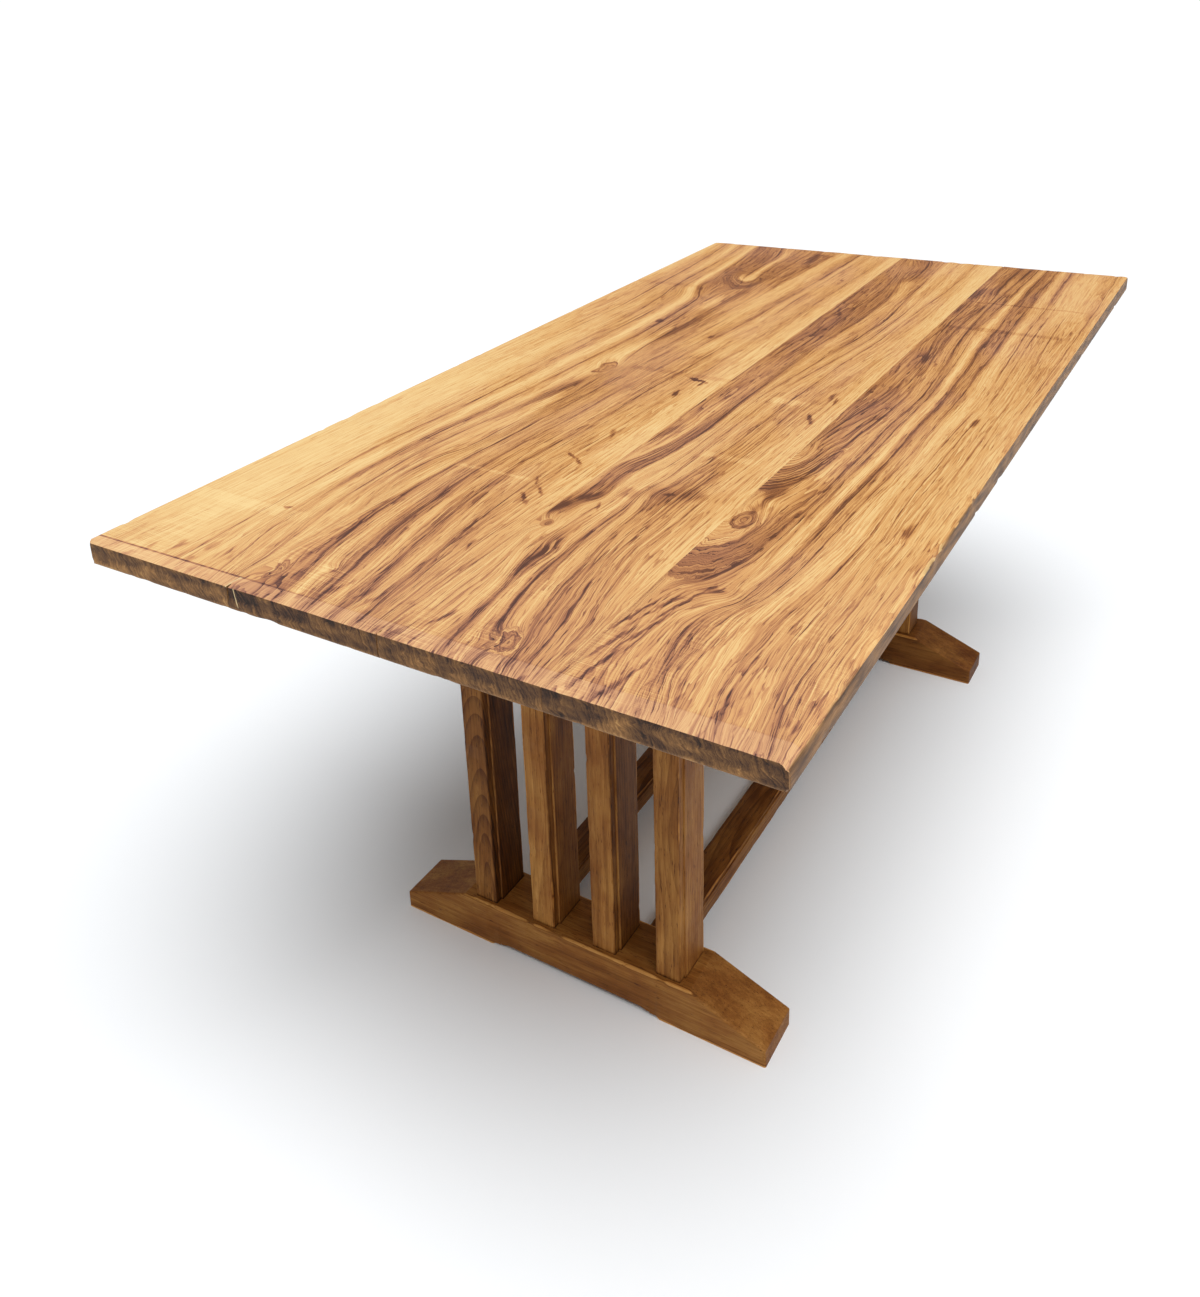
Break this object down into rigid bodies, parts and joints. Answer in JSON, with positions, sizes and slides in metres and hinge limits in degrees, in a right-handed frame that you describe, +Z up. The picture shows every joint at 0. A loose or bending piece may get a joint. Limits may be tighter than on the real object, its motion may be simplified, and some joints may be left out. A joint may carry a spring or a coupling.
{
  "type": "trestle dining table",
  "caption": "Solid wood dining table: edge-glued plank top on slatted trestles with sloping feet, joined by low stretchers.",
  "frame": {"origin": "on the floor under the middle of the top", "axes": "+X along the table's length towards the far end, +Y across it to the left, +Z up"},
  "size_m": [1.8, 0.9, 0.76],
  "materials": {
    "top_wood": "planed and oiled, satin, pale sapwood with brown heartwood streaks",
    "frame_wood": "stained golden brown, waxed, satin, worn arrises",
    "tongue_wood": "unfinished birch ply",
    "screw_steel": "bright zinc plated"
  },
  "bodies": {
    "root": {"top_board_1": "top_wood", "top_board_2": "top_wood", "top_board_3": "top_wood", "top_board_4": "top_wood", "seam_tongue_one": "tongue_wood", "seam_tongue_two": "tongue_wood", "seam_tongue_three": "tongue_wood", "near_foot": "frame_wood", "near_bearer": "frame_wood", "near_post_1": "frame_wood", "near_post_2": "frame_wood", "near_post_3": "frame_wood", "near_post_4": "frame_wood", "near_top_screws": "screw_steel", "near_screw_washers": "screw_steel", "far_foot": "frame_wood", "far_bearer": "frame_wood", "far_post_1": "frame_wood", "far_post_2": "frame_wood", "far_post_3": "frame_wood", "far_post_4": "frame_wood", "far_top_screws": "screw_steel", "far_screw_washers": "screw_steel", "left_stretcher": "frame_wood", "right_stretcher": "frame_wood"}
  },
  "joints": []
}
